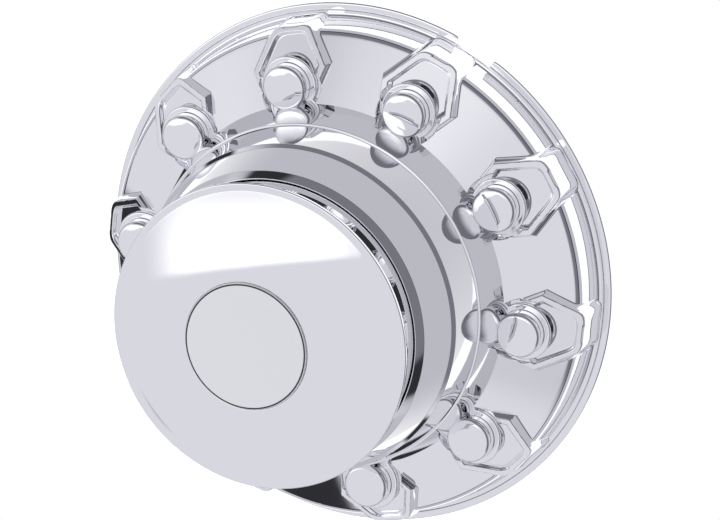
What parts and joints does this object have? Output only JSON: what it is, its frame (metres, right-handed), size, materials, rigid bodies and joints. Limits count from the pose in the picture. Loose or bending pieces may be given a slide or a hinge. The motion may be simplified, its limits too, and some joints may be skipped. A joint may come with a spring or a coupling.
{
  "type": "axle hub cover",
  "caption": "Chromed axle hub cover for a heavy wheel: a flanged moulding with a ring of stud covers and a tall neck, closed by a snap-in end cap with a round badge.",
  "frame": {"origin": "on the axle's line, in the plane of the flange's back edge, which rests on the wheel", "axes": "+Z along the axle, away from the wheel; +X towards the first stud cover"},
  "size_m": [0.376, 0.376, 0.1949],
  "materials": {
    "cover": "bright chrome plate on moulded ABS",
    "end_cap": "bright chrome plate on moulded ABS",
    "badge": "gloss off-white face with a thin black ring"
  },
  "bodies": {
    "root": {"cover": "cover", "end_cap": "end_cap", "badge": "badge"}
  },
  "joints": []
}
